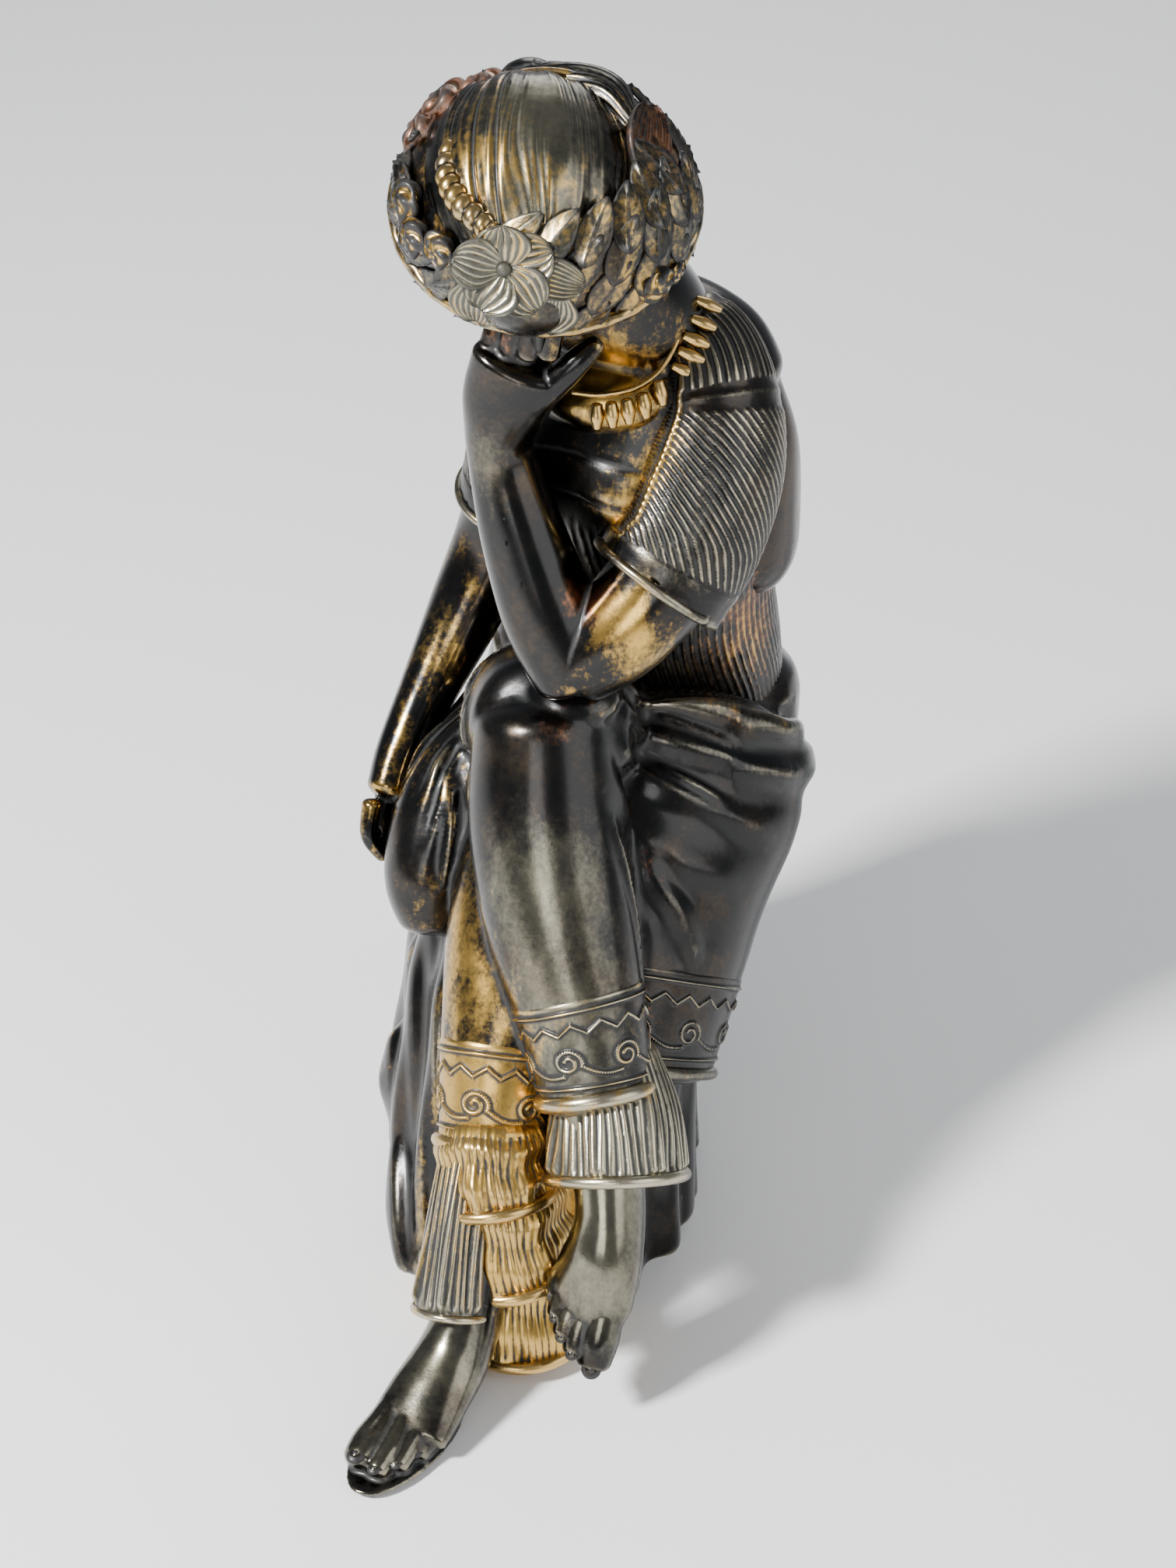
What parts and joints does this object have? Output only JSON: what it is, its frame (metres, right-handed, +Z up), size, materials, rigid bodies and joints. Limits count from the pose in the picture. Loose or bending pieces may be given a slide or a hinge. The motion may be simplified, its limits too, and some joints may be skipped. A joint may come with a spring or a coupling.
{
  "type": "seated figurine",
  "caption": "Cast metal figurine of a seated, draped figure in thought, chin on hand and legs crossed, with a leaf wreath, standing on a flat underside.",
  "frame": {"origin": "middle of the figurine's box, on its flat underside", "axes": "+Z up along the figurine's height; the seated figure faces -Y and its left side is +X"},
  "size_m": [0.1168, 0.2249, 0.3301],
  "materials": {
    "patinated_metal": "dark patinated cast metal, polished by wear, with gold and copper traces on the high points"
  },
  "bodies": {
    "root": {"figure": "patinated_metal"}
  },
  "joints": []
}
